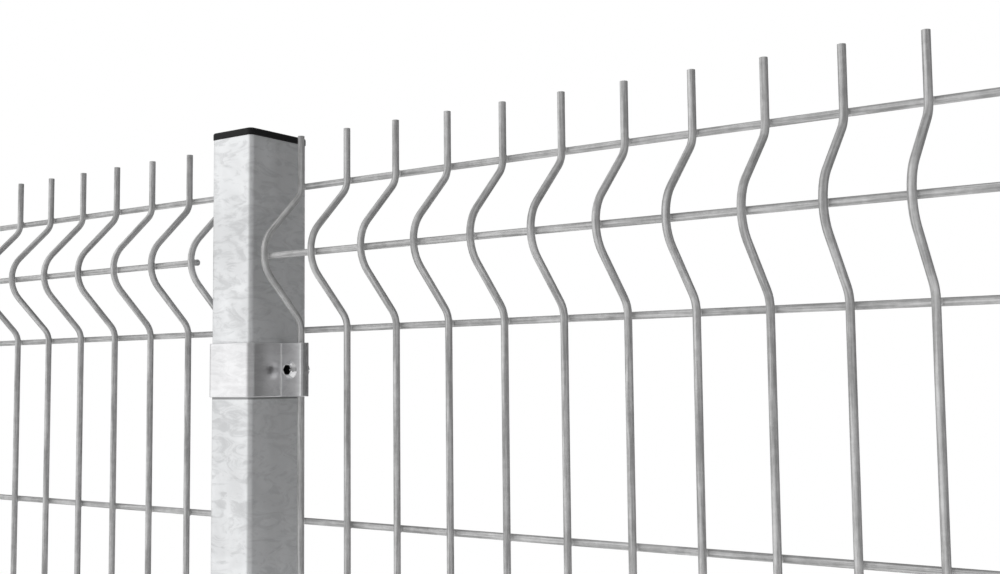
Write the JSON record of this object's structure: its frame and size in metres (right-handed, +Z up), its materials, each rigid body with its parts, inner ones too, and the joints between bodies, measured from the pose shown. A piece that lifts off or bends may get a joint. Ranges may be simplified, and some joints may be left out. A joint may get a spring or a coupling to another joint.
{
  "type": "welded mesh fence",
  "caption": "Galvanised welded mesh fence in bays: folded wire panels clamped to box posts with black caps.",
  "frame": {"origin": "centre of the middle post's foot face, at ground level", "axes": "+X along the fence, to the right seen from the front; front (the folds' points) towards -Y; +Z up"},
  "size_m": [5.2196, 0.0728, 1.6773],
  "materials": {
    "post_zinc": "hot-dip galvanised, bright with faint mottling",
    "cap_plastic": "black moulded plastic",
    "wire_zinc": "galvanised wire with faint streaks along it",
    "strap_zinc": "galvanised sheet, bright",
    "bolt_zinc": "bright zinc plated"
  },
  "bodies": {
    "root": {"post_left": "post_zinc", "post_middle": "post_zinc", "post_right": "post_zinc", "cap_left": "cap_plastic", "cap_middle": "cap_plastic", "cap_right": "cap_plastic", "mesh_left_outer": "wire_zinc", "mesh_left_inner": "wire_zinc", "mesh_right_inner": "wire_zinc", "mesh_right_outer": "wire_zinc", "clamp_left_low": "strap_zinc", "clamp_left_mid": "strap_zinc", "clamp_left_top": "strap_zinc", "clamp_middle_front_low": "strap_zinc", "clamp_middle_front_mid": "strap_zinc", "clamp_middle_front_top": "strap_zinc", "clamp_middle_rear_low": "strap_zinc", "clamp_middle_rear_mid": "strap_zinc", "clamp_middle_rear_top": "strap_zinc", "clamp_right_low": "strap_zinc", "clamp_right_mid": "strap_zinc", "clamp_right_top": "strap_zinc", "bolts_left": "bolt_zinc", "bolts_middle_low": "bolt_zinc", "bolts_middle_mid": "bolt_zinc", "bolts_middle_top": "bolt_zinc", "bolts_right": "bolt_zinc", "nuts_left": "bolt_zinc", "nuts_middle": "bolt_zinc", "nuts_right": "bolt_zinc"}
  },
  "joints": []
}
